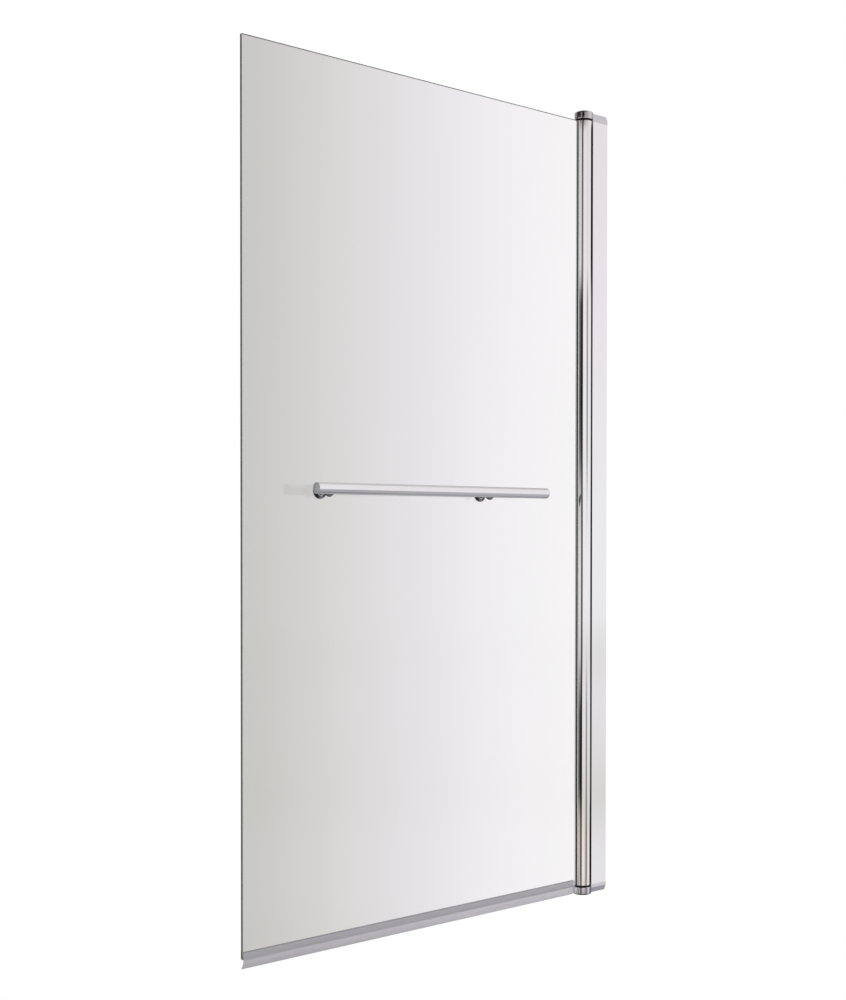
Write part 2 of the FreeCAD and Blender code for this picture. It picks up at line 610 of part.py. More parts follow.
# ---------------------------------------------------------------- one file per piece
def all_parts():
    return {
        "wall_channel": wall_channel(),
        "post_profile": post_profile(),
        "barrel_wipers": barrel_wipers(),
        "end_caps": both_ends(end_cap()),
        "end_cap_screws": both_ends(cap_screws()),
        "pivot_bushes": both_ends(pivot_bush()),
        "clamp_screws": clamp_screws(),
        "clamp_nuts": clamp_nuts(),
        "clamp_screw_covers": clamp_screw_covers(),
        "hinge_barrel": hinge_barrel(),
        "glass_gasket": glass_gasket(),
        "glass_panel": glass_panel(),
        "pivot_studs": both_ends(pivot_stud()),
        "pivot_stud_screws": both_ends(pivot_stud_screws()),
        "thrust_washers": both_ends(thrust_washer()),
        "bottom_seal": bottom_seal(),
        "rail_tube": rail_tube(),
        "rail_end_caps": rail_end_caps(),
        "rail_posts": rail_posts(),
        "rail_saddles": rail_saddles(),
        "glass_bushes": glass_bushes(),
        "back_pads": back_pads(),
        "back_discs": back_discs(),
        "glass_fixing_screws": glass_fixing_screws(),
    }


os.makedirs("parts", exist_ok=True)
for name, shape in all_parts().items():
    shape.exportStep(os.path.join("parts", name + ".step"))
    print(name, len(shape.Solids), "solid(s)", round(shape.Volume / 1000, 2), "cm3", shape.isValid())
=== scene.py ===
import json
import math

import bmesh
import bpy
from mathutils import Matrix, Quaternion, Vector

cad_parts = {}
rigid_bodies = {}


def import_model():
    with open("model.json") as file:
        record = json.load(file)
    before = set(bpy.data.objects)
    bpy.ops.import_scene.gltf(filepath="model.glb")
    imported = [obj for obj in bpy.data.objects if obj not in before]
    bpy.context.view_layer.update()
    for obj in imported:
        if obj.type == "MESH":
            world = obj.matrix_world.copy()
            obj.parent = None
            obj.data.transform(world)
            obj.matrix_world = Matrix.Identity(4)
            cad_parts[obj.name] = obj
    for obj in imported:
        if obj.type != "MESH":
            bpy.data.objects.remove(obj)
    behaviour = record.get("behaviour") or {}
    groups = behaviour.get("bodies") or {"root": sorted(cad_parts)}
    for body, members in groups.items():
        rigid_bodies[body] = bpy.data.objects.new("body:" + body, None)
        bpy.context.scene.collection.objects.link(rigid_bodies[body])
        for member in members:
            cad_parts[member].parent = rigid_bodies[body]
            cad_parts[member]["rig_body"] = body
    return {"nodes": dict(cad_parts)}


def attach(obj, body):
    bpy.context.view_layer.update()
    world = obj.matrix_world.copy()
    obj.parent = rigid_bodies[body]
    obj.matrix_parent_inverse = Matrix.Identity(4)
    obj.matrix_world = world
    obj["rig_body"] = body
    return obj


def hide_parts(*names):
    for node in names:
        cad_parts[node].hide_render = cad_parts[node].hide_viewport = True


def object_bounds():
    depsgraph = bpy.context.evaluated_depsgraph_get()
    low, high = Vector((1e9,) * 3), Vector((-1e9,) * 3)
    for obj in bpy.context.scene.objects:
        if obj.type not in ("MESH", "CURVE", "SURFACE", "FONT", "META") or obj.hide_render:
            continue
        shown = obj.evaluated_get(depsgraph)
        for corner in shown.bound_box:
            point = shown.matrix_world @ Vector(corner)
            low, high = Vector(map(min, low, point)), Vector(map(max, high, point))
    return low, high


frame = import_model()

cad_low, cad_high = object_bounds()
nodes = frame["nodes"]
body_of = {name: node["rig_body"] for name, node in nodes.items()}

# ---------------------------------------------------------------- sizes, metres
MM = 0.001
SCREEN_WIDTH = 790 * MM
GLASS_TOP = 700 * MM
PAD_FACE = 4 * MM
PIVOT_X = -49 * MM
POST_FACE = 13 * MM
POST_TOP = GLASS_TOP + 1 * MM
NOSE_FLOOR = 703.5 * MM
CAP_TOP = 716.5 * MM
CAP_SCREW_X = -29.714 * MM
CAP_SCREW_Y = 6 * MM
CLAMP_X = -8 * MM
CLAMP_SPACING = 500 * MM
SEAL_START_X = -SCREEN_WIDTH + 0.8 * MM
SEAL_END_X = PIVOT_X - 24 * MM
RAIL_Y = -43 * MM
RAIL_Z = 17 * MM
RAIL_RADIUS = 9 * MM
RAIL_START_X = -681 * MM
RAIL_END_X = -187 * MM
BRACKET_X = -647 * MM
BRACKET_Z = 14.4 * MM
BRACKET_SPACING = 339 * MM

# ---------------------------------------------------------------- detail of the meshes
ARC_STEPS = 4
TURNED_STEPS = 96
WELD = 1e-7
SEAM = 1e-6
FLAT = math.radians(0.5)
OUTER_FOLD = math.radians(25)
SHARP = math.radians(38)
ALONG_X = (math.pi / 2, 0.0, math.pi / 2)


# ---------------------------------------------------------------- node trees
class Level:
    """A number socket that takes part in sums."""

    def __init__(self, tree, socket):
        self.tree = tree
        self.socket = socket

    def __add__(self, other):
        return self.tree.function("ADD", self, other)

    def __radd__(self, other):
        return self.tree.function("ADD", other, self)

    def __sub__(self, other):
        return self.tree.function("SUBTRACT", self, other)

    def __rsub__(self, other):
        return self.tree.function("SUBTRACT", other, self)

    def __mul__(self, other):
        return self.tree.function("MULTIPLY", self, other)

    def __rmul__(self, other):
        return self.tree.function("MULTIPLY", other, self)

    def __truediv__(self, other):
        return self.tree.function("DIVIDE", self, other)

    def __pow__(self, other):
        return self.tree.function("POWER", self, other)


class NodeTree:
    """Any node tree: makes nodes from a type, settings and socket values."""

    def __init__(self, tree):
        self.tree = tree

    def node(self, kind, settings=None, sockets=None):
        made = self.tree.nodes.new(kind)
        for name, value in (settings or {}).items():
            if name == "stops":
                set_stops(made.color_ramp, value)
            else:
                setattr(made, name, value)
        for key, value in (sockets or {}).items():
            self.feed(made.inputs[key], value)
        return made

    def feed(self, socket, value):
        """Link a socket to a level, a node or another socket, or give it a plain value."""
        if isinstance(value, Level):
            value = value.socket
        if isinstance(value, bpy.types.Node):
            value = value.outputs[0]
        if isinstance(value, bpy.types.NodeSocket):
            self.tree.links.new(value, socket)
        else:
            socket.default_value = value


def rgba(colour):
    """Four values from a grey level or from a colour of three."""
    if not isinstance(colour, tuple):
        colour = (colour, colour, colour)
    return (*colour, 1.0)


def set_stops(ramp, stops):
    """Give a colour ramp its stops, each a position and a grey level or a colour."""
    while len(ramp.elements) > 1:
        ramp.elements.remove(ramp.elements[-1])
    for index, (position, colour) in enumerate(stops):
        stop = ramp.elements[0] if index == 0 else ramp.elements.new(position)
        stop.position = position
        stop.color = rgba(colour)


class ShaderTree(NodeTree):
    """A node tree of a material or of the world."""

    def __init__(self, owner, output_kind):
        owner.use_nodes = True
        super().__init__(owner.node_tree)
        self.tree.nodes.clear()
        self.output = self.node(output_kind)

    def level(self, socket):
        return Level(self, socket)

    def function(self, operation, *levels):
        """What a Math node makes of one or two levels or numbers."""
        made = self.node("ShaderNodeMath", {"operation": operation}, dict(enumerate(levels)))
        return self.level(made.outputs[0])

    def axes(self, vector):
        """The three parts of a vector."""
        split = self.node("ShaderNodeSeparateXYZ", {}, {0: vector})
        return [self.level(socket) for socket in split.outputs]

    def ramp(self, factor, stops):
        made = self.node("ShaderNodeValToRGB", {"stops": stops}, {"Fac": factor})
        return made.outputs["Color"]

    def blend(self, factor, first, second, way="MIX"):
        made = self.node("ShaderNodeMix", {"data_type": "RGBA", "blend_type": way},
                         {0: factor, 6: first, 7: second})
        return made.outputs[2]

    def multiplied(self, first, second):
        return self.blend(1.0, first, second, "MULTIPLY")

    def step(self, value, low, high):
        """Nought up to low, one from high, and smooth between them."""
        made = self.node("ShaderNodeMapRange", {"interpolation_type": "SMOOTHSTEP"},
                         {"Value": value, "From Min": low, "From Max": high})
        return self.level(made.outputs[0])

    def past_mirror(self, path):
        """One for a ray that a mirror has sent on, otherwise nought."""
        return self.step(path.outputs["Glossy Depth"], 0.2, 0.8)


class Finish(ShaderTree):
    """A material under construction."""

    def __init__(self, name):
        self.material = bpy.data.materials.new(name)
        super().__init__(self.material, "ShaderNodeOutputMaterial")
        self.place = self.node("ShaderNodeTexCoord").outputs["Object"]

    def noise(self, scale, detail, stretch=(1.0, 1.0, 1.0)):
        """Grain in the piece's own coordinates, with its scale in grains per metre."""
        mapped = self.node("ShaderNodeMapping", {}, {"Vector": self.place, "Scale": stretch})
        made = self.node("ShaderNodeTexNoise", {},
                         {"Vector": mapped.outputs[0], "Scale": scale, "Detail": detail})
        return self.level(made.outputs[0])

    def tone(self, grain, dull, clean, low=0.3, high=0.7):
        """A colour that goes from dull to clean as the grain rises."""
        return self.ramp(grain, [(low, dull), (high, clean)])

    def bump(self, height, distance, strength):
        made = self.node("ShaderNodeBump", {},
                         {"Height": height, "Distance": distance, "Strength": strength})
        return made.outputs[0]

    def from_line(self, x, y):
        """Distance from the upright line through x, y."""
        place_x, place_y, _ = self.axes(self.place)
        across, along = place_x - x, place_y - y
        return (across * across + along * along) ** 0.5

    def front(self, low, high):
        """Nought up to a distance low on the camera's side of the glass's middle, one from high:
        the mask of painted highlights on that side.
        """
        return self.step(0.0 - self.axes(self.place)[1], low, high)

    def principled(self, **sockets):
        """Close the material with one shader; an underscore stands for a socket name's space."""
        named = {key.replace("_", " "): value for key, value in sockets.items()}
        self.feed(self.output.inputs["Surface"], self.node("ShaderNodeBsdfPrincipled", {}, named))


class ModelTree(NodeTree):
    """A geometry node tree with named inputs, run once on a mesh for a plain mesh."""

    def __init__(self, name, inputs):
        super().__init__(bpy.data.node_groups.new(name, "GeometryNodeTree"))
        face = self.tree.interface
        face.new_socket("Geometry", in_out="INPUT", socket_type="NodeSocketGeometry")
        self.keys = {}
        for label, kind in (*inputs, ("Material", "NodeSocketMaterial")):
            made = face.new_socket(label, in_out="INPUT", socket_type=kind)
            self.keys[label] = made.identifier
        face.new_socket("Geometry", in_out="OUTPUT", socket_type="NodeSocketGeometry")
        self.source = self.node("NodeGroupInput").outputs

    def join(self, *parts):
        made = self.node("GeometryNodeJoinGeometry")
        for part in parts:
            self.feed(made.inputs[0], part)
        return made

    def end(self, geometry):
        """Close the tree: instances made real, material set."""
        real = self.node("GeometryNodeRealizeInstances", {}, {0: geometry})
        clad = self.node("GeometryNodeSetMaterial", {},
                         {"Geometry": real, "Material": self.source["Material"]})
        self.feed(self.node("NodeGroupOutput").inputs[0], clad)

    def run(self, mesh, **values):
        """What the tree makes of a mesh; an underscore stands for an input name's space."""
        bearer = carrier(mesh)
        modifier = bearer.modifiers.new("model", "NODES")
        modifier.node_group = self.tree
        for label, value in values.items():
            modifier[self.keys[label.replace("_", " ")]] = value
        return plain_mesh(bearer)


# ---------------------------------------------------------------- mesh tools
def carrier(mesh):
    """A throwaway object that holds a mesh while modifiers work on it."""
    bearer = bpy.data.objects.new("carrier", mesh)
    bpy.context.scene.collection.objects.link(bearer)
    return bearer


def plain_mesh(bearer):
    """The mesh that a throwaway object shows with its modifiers; the object goes."""
    graph = bpy.context.evaluated_depsgraph_get()
    made = bpy.data.meshes.new_from_object(bearer.evaluated_get(graph), depsgraph=graph)
    bpy.data.objects.remove(bearer)
    return made


def mesh_data(mesh, name):
    """The data of a mesh that was open for editing."""
    data = bpy.data.meshes.new(name)
    mesh.to_mesh(data)
    mesh.free()
    return data


def spun(point, angle):
    """A point of the plane turned about the origin."""
    return (point.x * math.cos(angle) - point.y * math.sin(angle),
            point.x * math.sin(angle) + point.y * math.cos(angle))


def rounded(corners, closed=True):
    """The outline through corners (u, v, radius), with an arc of that radius at each.

    An outline that isn't closed keeps its first and last corners sharp.
    """
    count = len(corners)
    points = []
    for index, (u, v, radius) in enumerate(corners):
        here = Vector((u, v))
        if radius == 0 or (not closed and index in (0, count - 1)):
            points.append(here)
            continue
        before = Vector(corners[index - 1][:2]) - here
        after = Vector(corners[(index + 1) % count][:2]) - here
        opening = before.angle(after)
        back = radius / math.tan(opening / 2)
        start = here + before.normalized() * back
        finish = here + after.normalized() * back
        inward = (before.normalized() + after.normalized()).normalized()
        centre = here + inward * (radius / math.sin(opening / 2))
        from_start = start - centre
        turn = from_start.angle_signed(finish - centre)
        for step in range(ARC_STEPS + 1):
            points.append(centre + Vector(spun(from_start, -turn * step / ARC_STEPS)))
    return points


def section(corners):
    """The rounded outline, in metres, through corners in millimetres."""
    return [point * MM for point in rounded(corners)]


def loop_mesh(*outlines):
    """Closed outlines in the XY plane, as a mesh of edges."""
    vertices, edges = [], []
    for outline in outlines:
        first = len(vertices)
        vertices += [(u, v, 0.0) for u, v in outline]
        edges += [(first + i, first + (i + 1) % len(outline)) for i in range(len(outline))]
    mesh = bpy.data.meshes.new("outline")
    mesh.from_pydata(vertices, edges, [])
    return mesh


def lathe(corners, place, axis, closed=False):
    """A turned mesh from corners in millimetres: distance along the axis, radius, rounding."""
    axis = Vector(axis)
    across = axis.orthogonal().normalized()
    other = axis.cross(across)
    mesh = bmesh.new()
    rings = []
    for along, radius in [point * MM for point in rounded(corners, closed)]:
        centre = Vector(place) + axis * along
        if radius < WELD:
            rings.append([mesh.verts.new(centre)] * TURNED_STEPS)
            continue
        ring = []
        for i in range(TURNED_STEPS):
            angle = 2 * math.pi * i / TURNED_STEPS
            spoke = across * math.cos(angle) + other * math.sin(angle)
            ring.append(mesh.verts.new(centre + spoke * radius))
        rings.append(ring)
    pairs = list(zip(rings, rings[1:]))
    if closed:
        pairs.append((rings[-1], rings[0]))
    for lower, upper in pairs:
        for i in range(TURNED_STEPS):
            j = (i + 1) % TURNED_STEPS
            face = []
            for corner in (lower[i], lower[j], upper[j], upper[i]):
                if corner not in face:
                    face.append(corner)
            if len(face) > 2:
                mesh.faces.new(face)
    bmesh.ops.recalc_face_normals(mesh, faces=mesh.faces)
    return mesh_data(mesh, "turned")


def joined(*meshes):
    """One mesh from several."""
    mesh = bmesh.new()
    for piece in meshes:
        mesh.from_mesh(piece)
    return mesh_data(mesh, "joined")


def combined(first, second, operation):
    """The union of two closed meshes, or the first with the second taken away."""
    base, tool = carrier(first), carrier(second)
    boolean = base.modifiers.new("boolean", "BOOLEAN")
    boolean.operation = operation
    boolean.object = tool
    boolean.solver = "EXACT"
    made = plain_mesh(base)
    bpy.data.objects.remove(tool)
    return made


def cad_mesh(node):
    """A CAD node's mesh, open for editing, with the facets of its flat faces joined."""
    mesh = bmesh.new()
    mesh.from_mesh(nodes[node].data)
    bmesh.ops.remove_doubles(mesh, verts=mesh.verts, dist=WELD)
    bmesh.ops.dissolve_limit(mesh, angle_limit=FLAT, verts=mesh.verts, edges=mesh.edges)
    return mesh


def softened(node, width):
    """A copy of a CAD node with its outer edges rounded over, less so where an edge is short."""
    mesh = cad_mesh(node)
    weights = mesh.edges.layers.float.new("bevel_weight_edge")
    share_of_length = 0.6
    for edge in mesh.edges:
        fold = edge.calc_face_angle_signed(0.0)
        edge.smooth = abs(fold) < OUTER_FOLD
        if fold > OUTER_FOLD:
            edge[weights] = min(1.0, share_of_length * edge.calc_length() / width)
    bearer = carrier(mesh_data(mesh, node))
    bevel = bearer.modifiers.new("bevel", "BEVEL")
    bevel.limit_method = "WEIGHT"
    bevel.width = width
    bevel.segments = 3
    bevel.use_clamp_overlap = True
    return plain_mesh(bearer)


def shown(name, data, node):
    """Put a mesh in the scene as the visible piece of a CAD node, on that node's body."""
    piece = bpy.data.objects.new(name, data)
    bpy.context.scene.collection.objects.link(piece)
    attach(piece, body_of[node])
    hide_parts(node)


def finished(name, mesh, node):
    """Clad a mesh in its node's finish, smooth where round and flat where flat, and show it."""
    mesh.name = name
    mesh.shade_smooth()
    mesh.set_sharp_from_angle(angle=SHARP)
    mesh.materials.clear()
    mesh.materials.append(finishes[node])
    bearer = carrier(mesh)
    bearer.modifiers.new("weigh", "WEIGHTED_NORMAL").keep_sharp = True
    shown(name, plain_mesh(bearer), node)


# ---------------------------------------------------------------- geometry node models
def drawn_section():
    """Outlines in the XY plane filled, drawn out to a length, then laid in their place."""
    tree = ModelTree("drawn_section", [
        ("Length", "NodeSocketFloat"), ("Place", "NodeSocketVector"), ("Turn", "NodeSocketVector")])
    curve = tree.node("GeometryNodeMeshToCurve", {}, {0: tree.source["Geometry"]})
    end = tree.node("GeometryNodeFillCurve", {"mode": "NGONS"}, {0: curve})
    rise = tree.node("ShaderNodeCombineXYZ", {}, {"Z": tree.source["Length"]})
    drawn = tree.node("GeometryNodeExtrudeMesh", {},
                      {"Mesh": end, "Offset": rise, "Individual": False})
    shell = tree.join(drawn, tree.node("GeometryNodeFlipFaces", {}, {"Mesh": end}))
    closed = tree.node("GeometryNodeMergeByDistance", {}, {"Geometry": shell, "Distance": SEAM})
    tree.end(tree.node("GeometryNodeTransform", {}, {
        "Geometry": closed, "Translation": tree.source["Place"], "Rotation": tree.source["Turn"]}))
    return tree


def rows():
    """One piece repeated along a line and, where asked, turned over to the screen's other end."""
    tree = ModelTree("rows", [
        ("Count", "NodeSocketInt"), ("Step", "NodeSocketVector"), ("Both Ends", "NodeSocketBool")])
    line = tree.node("GeometryNodeMeshLine", {"mode": "OFFSET"},
                     {"Count": tree.source["Count"], "Offset": tree.source["Step"]})
    row = tree.node("GeometryNodeInstanceOnPoints", {},
                    {"Points": line, "Instance": tree.source["Geometry"]})
    real = tree.node("GeometryNodeRealizeInstances", {}, {0: row})
    turned_over = tree.node("GeometryNodeTransform", {},
                            {"Geometry": real, "Rotation": (math.pi, 0.0, 0.0)})
    pair = tree.join(real, turned_over)
    tree.end(tree.node("GeometryNodeSwitch", {"input_type": "GEOMETRY"}, {
        "Switch": tree.source["Both Ends"], "False": real, "True": pair}))
    return tree


# ---------------------------------------------------------------- sections, millimetres
def seal_section():
    """Drip seal (y, z from the glass's lower edge): two legs, a web and a fin that curves away."""
    leg_in, leg_out, web, grip = 3.05, 4.15, 1.4, 10.2
    lip, lead_in, neck = 0.25, 2.4, 0.09
    root, thick, lean, drop, parts = 0.7, 1.2, 2.2, 16.2, 16

    def fin(t, offset):
        """A point of the fin's flank, from its root at 0 to its tip at 1."""
        return (-leg_out + (lean + leg_out) * t * t + offset, -root - (drop - root) * t)

    right = [(*fin(t / parts, thick), 0) for t in range(2, parts)]
    left = [(*fin(t / parts, 0.0), 0) for t in range(parts - 1, 1, -1)]
    return section([
        (-leg_out, grip, 0.4), (-leg_in + lip, grip, 0.3), (-leg_in, grip - lead_in, 0),
        (-leg_in, 0, 0.4), (leg_in, 0, 0.4),
        (leg_in, grip - lead_in, 0), (leg_in - lip, grip, 0.3), (leg_out, grip, 0.4),
        (leg_out, -web, 0.9), (fin(neck, thick)[0], -web, 0), *right,
        (*fin(1.0, thick), 0.35), (*fin(1.0, 0.0), 0.35), *left, (-leg_out, -root, 0),
    ])


def gasket_section():
    """Strip in the barrel's pocket, folded round the glass's inner edge, with wedge lips."""
    mouth, floor_in, floor_out = -64.825, -53.2, -52.0
    wedge = mouth - 0.8
    pocket, lip, glass = 4.2, 3.35, 3.0
    return section([
        (mouth, pocket, 0.4), (wedge, lip, 0.12), (wedge, glass, 0.1), (floor_in, glass, 0.3),
        (floor_in, -glass, 0.3), (wedge, -glass, 0.1), (wedge, -lip, 0.12), (mouth, -pocket, 0.4),
        (floor_out, -pocket, 0.6), (floor_out, pocket, 0.6),
    ])


def wiper_section(side):
    """Strip in the post's seat, with a round nose towards the barrel."""
    radius, half, nose, from_middle = 16.6, 0.8, 0.4, 38
    front, back = radius - 0.25, radius + 0.8
    angle = math.radians(from_middle * side)
    outline = []
    for point in rounded([(front, -half, nose), (front, half, nose), (back, half, 0),
                          (back, -half, 0)]):
        x, y = spun(point, angle)
        outline.append(Vector((PIVOT_X + x * MM, y * MM)))
    return outline


# ---------------------------------------------------------------- turned and cut pieces
def countersunk(top_radius, shank_radius, length, side):
    """The body of an upright countersunk screw, with its head's face at the cap's top."""
    return lathe([(0, 0, 0), (0, top_radius, 0), (-(top_radius - shank_radius), shank_radius, 0),
                  (-length, shank_radius, 0), (-length, 0, 0)],
                 (CAP_SCREW_X, side * CAP_SCREW_Y, CAP_TOP), (0, 0, 1))


def cap_nose():
    """Round nose of a cap: a softly rounded drum with the bush's seat in its floor."""
    seat, seat_radius, height, radius = 9.2, 8.05, 14.3, 17
    return lathe([(seat, 0, 0), (seat, seat_radius, 0), (0, seat_radius, 0), (0, radius, 0.6),
                  (height, radius, 2.6), (height, 0, 0)], (PIVOT_X, 0, NOSE_FLOOR), (0, 0, 1))


def cap_tail(draw):
    """Bevelled tail of a cap, from the wall to the pivot."""
    foot, half, eaves, top, top_half = 701, 13.3, 707, 716.5, 9.5
    outline = section([(-half, foot, 0), (half, foot, 0), (half, eaves, 0.8), (top_half, top, 0.6),
                       (-top_half, top, 0.6), (-half, eaves, 0.8)])
    return draw.run(loop_mesh(outline), Length=-PIVOT_X, Place=(PIVOT_X, 0.0, 0.0), Turn=ALONG_X)


def cap_mesh(draw):
    """Top cap: nose and bevelled tail in one, cleared for the barrel and for its two screws."""
    cap = combined(cap_nose(), cap_tail(draw), "UNION")
    room, boss, boss_foot, below = 16.6, 8.5, -3, -4
    barrel_room = lathe([(below, 0, 0), (below, room, 0), (0, room, 0), (0, boss, 0),
                         (boss_foot, boss, 0), (boss_foot, 0, 0)],
                        (PIVOT_X, 0, NOSE_FLOOR), (0, 0, 1))
    cap = combined(cap, barrel_room, "DIFFERENCE")
    for side in (-1, 1):
        hole = countersunk(top_radius=3.1, shank_radius=1.9, length=30, side=side)
        cap = combined(cap, hole, "DIFFERENCE")
    return cap


def recess(x, y, top, half_x, half_y):
    """One tapered slot of the cross that a driver fits in a screw's head."""
    mesh = bmesh.new()
    above, below, taper = 0.3, -1.3, 0.6
    rings = []
    for z, scale in ((above, 1.0), (below, taper)):
        rings.append([mesh.verts.new((x + sx * half_x * scale * MM, y + sy * half_y * scale * MM,
                                      top + z * MM))
                      for sx, sy in ((-1, -1), (1, -1), (1, 1), (-1, 1))])
    mesh.faces.new(rings[0])
    mesh.faces.new(rings[1][::-1])
    for i in range(4):
        j = (i + 1) % 4
        mesh.faces.new((rings[0][j], rings[0][i], rings[1][i], rings[1][j]))
    bmesh.ops.recalc_face_normals(mesh, faces=mesh.faces)
    return mesh_data(mesh, "recess")


def cap_screw_mesh():
    """Countersunk screw of the top cap with a cross recess."""
    screw = countersunk(top_radius=3.05, shank_radius=1.85, length=35.5, side=-1)
    long, short = 1.9, 0.45
    for half_x, half_y in ((long, short), (short, long)):
        slot = recess(CAP_SCREW_X, -CAP_SCREW_Y, CAP_TOP, half_x, half_y)
        screw = combined(screw, slot, "DIFFERENCE")
    return screw


def washer_mesh():
    """Thrust washer on the barrel's top end."""
    bore, radius, thick = 12.9, 15.6, 3.3
    return lathe([(0, bore, 0.3), (0, radius, 0.5), (thick, radius, 0.5), (thick, bore, 0.3)],
                 (PIVOT_X, 0, GLASS_TOP), (0, 0, 1), closed=True)


def cover_mesh():
    """Snap-on cover of the lowest clamp screw: a round cap, hollow for the head."""
    height, radius, floor, hollow = 3.6, 6, 2.6, 4
    return lathe([(height, 0, 0), (height, radius, 1.8), (0, radius, 0), (0, hollow, 0),
                  (floor, hollow, 0), (floor, 0, 0)],
                 (CLAMP_X, POST_FACE, -CLAMP_SPACING), (0, 1, 0))


def disc_mesh():
    """Disc on the bath side of the glass, countersunk for its screw."""
    bore, radius, thick, sink, land = 2.5, 6.8, 3.2, 4.65, 1.05
    return lathe([(0, bore, 0), (0, radius, 0.3), (thick, radius, 0.8), (thick, sink, 0),
                  (land, bore, 0)], (BRACKET_X, PAD_FACE, BRACKET_Z), (0, 1, 0), closed=True)


def rail_post_mesh():
    """Cone-shaped flange on the glass, a neck with the screw's bore, and a tip in the rail."""
    return lathe([(10.2, 0, 0), (10.2, 2.5, 0), (0, 2.5, 0), (0, 13.3, 0.2), (0.6, 13.3, 0.5),
                  (3, 8.4, 1.5), (3, 6, 1.0), (24, 6, 0.3), (24, 2.95, 0), (35, 2.95, 0),
                  (35, 0, 0)], (BRACKET_X, -PAD_FACE, BRACKET_Z), (0, -1, 0))


def saddle_mesh():
    """Ringed collar whose front is hollowed to the rail's curve."""
    back, least_y = RAIL_Y + RAIL_RADIUS + 6 * MM, RAIL_Y + 6 * MM
    mesh = lathe([(0, 3, 0), (0, 10.3, 1.1), (2.5, 10.3, 1.3), (2.9, 6.4, 0.6), (9, 6.4, 0),
                  (9, 3, 0)], (BRACKET_X, back, BRACKET_Z), (0, -1, 0), closed=True)
    for vertex in mesh.vertices:
        if vertex.co.y < RAIL_Y + RAIL_RADIUS:
            offset = min(abs(vertex.co.z - RAIL_Z), RAIL_RADIUS)
            surface = RAIL_Y + math.sqrt(RAIL_RADIUS ** 2 - offset ** 2)
            vertex.co.y = max(least_y, surface)
    return mesh


def rail_cap_mesh(end_x, direction):
    """Push-in end cap: spigot, short rim and low dome."""
    spigot, spigot_radius, rim, radius, height = 8, 7.75, 0.6, 9, 3.4
    dome, steps = 15.864, 12
    half_way = math.asin(radius / dome)
    crown = []
    for i in range(1, steps):
        angle = half_way * (steps - i) / steps
        crown.append((height + dome * (math.cos(angle) - 1), dome * math.sin(angle), 0))
    return lathe([(-spigot, 0, 0), (-spigot, spigot_radius, 0), (0, spigot_radius, 0),
                  (0, radius, 0), (rim, radius, 0.25), *crown, (height, 0, 0)],
                 (end_x, RAIL_Y, RAIL_Z), (direction, 0, 0))


def glass_mesh():
    """The pane, with its clear faces in the first material and all its edges in the second."""
    mesh = cad_mesh("glass_panel")
    clear, ground, square_on = 0, 1, 0.9
    for face in mesh.faces:
        face.smooth = False
        face.material_index = clear if abs(face.normal.y) > square_on else ground
    return mesh_data(mesh, "glass_panel")


# ---------------------------------------------------------------- finishes
def dulled(colour, share):
    return tuple(c * share for c in colour)


def drawn_aluminium(name, colour, roughness, seat=0.0):
    """Bright anodised extrusion: faint die lines and haze; inside a seat's radius, painted shade
    takes it to near black.
    """
    finish = Finish(name)
    lines = finish.noise(900.0, detail=2.0, stretch=(1.0, 1.0, 0.004))
    haze = finish.noise(14.0, detail=4.0, stretch=(1.0, 1.0, 0.35))
    tone = finish.tone(lines * 0.6 + haze * 0.4, dulled(colour, 0.965), colour,
                       low=0.25, high=0.75)
    satin = roughness + haze * 0.03 + lines * 0.015
    if seat > 0.0:
        # painted shade: inside the seat's radius the colour falls to near black, standing in for
        # the shade of the seat beside the barrel
        painted_seat_shade = finish.step(finish.from_line(PIVOT_X, 0.0), seat + 0.1 * MM, seat)
        tone = finish.blend(painted_seat_shade, tone, rgba((0.02, 0.018, 0.016)))
        satin = satin + painted_seat_shade * 0.5
    finish.principled(Base_Color=tone, Metallic=1.0, Roughness=satin,
                      Normal=finish.bump(lines, distance=0.00002, strength=0.25))
    return finish.material


def plated(name, colour, roughness):
    """Chrome plate: mirror bright, with a trace of orange peel and of wiping."""
    finish = Finish(name)
    peel = finish.noise(650.0, detail=2.0)
    wiped = finish.noise(35.0, detail=5.0, stretch=(1.0, 2.5, 1.0))
    finish.principled(Base_Color=finish.tone(wiped, dulled(colour, 0.975), colour), Metallic=1.0,
                      Roughness=roughness + wiped * 0.03,
                      Normal=finish.bump(peel, distance=0.00002, strength=0.12))
    return finish.material


def mill_aluminium(name):
    """Dull extrusion as it leaves the die."""
    finish = Finish(name)
    lines = finish.noise(1200.0, detail=3.0, stretch=(1.0, 1.0, 0.01))
    patches = finish.noise(60.0, detail=4.0)
    tone = finish.tone(patches * 0.5 + lines * 0.5, (0.52, 0.52, 0.53), (0.66, 0.66, 0.67))
    finish.principled(Base_Color=tone, Metallic=1.0, Roughness=0.34 + lines * 0.16,
                      Normal=finish.bump(lines, distance=0.00004, strength=0.5))
    return finish.material


def turned_steel(name):
    """Plain stainless with fine tool marks."""
    finish = Finish(name)
    marks = finish.noise(2600.0, detail=2.0, stretch=(1.0, 1.0, 0.15))
    stain = finish.noise(220.0, detail=3.0)
    tone = finish.tone(stain, (0.48, 0.48, 0.49), (0.62, 0.62, 0.63))
    finish.principled(Base_Color=tone, Metallic=1.0, Roughness=0.22 + marks * 0.15,
                      Normal=finish.bump(marks, distance=0.00003, strength=0.4))
    return finish.material


def moulded(name, colour, roughness, lip=None):
    """Plastic or rubber with a fine skin; a lip on the camera's side may be painted paler as a
    highlight.
    """
    finish = Finish(name)
    skin = finish.noise(900.0, detail=3.0)
    cloud = finish.noise(80.0, detail=3.0)
    tone = finish.tone(cloud, dulled(colour, 0.86), colour)
    # painted highlight: the lip on the camera's side takes the paler lip colour
    if lip is not None:
        tone = finish.blend(finish.front(3.0 * MM, 3.3 * MM), tone, rgba(lip))
    finish.principled(Base_Color=tone, Roughness=roughness + skin * 0.12,
                      Normal=finish.bump(skin, distance=0.00003, strength=0.5))
    return finish.material


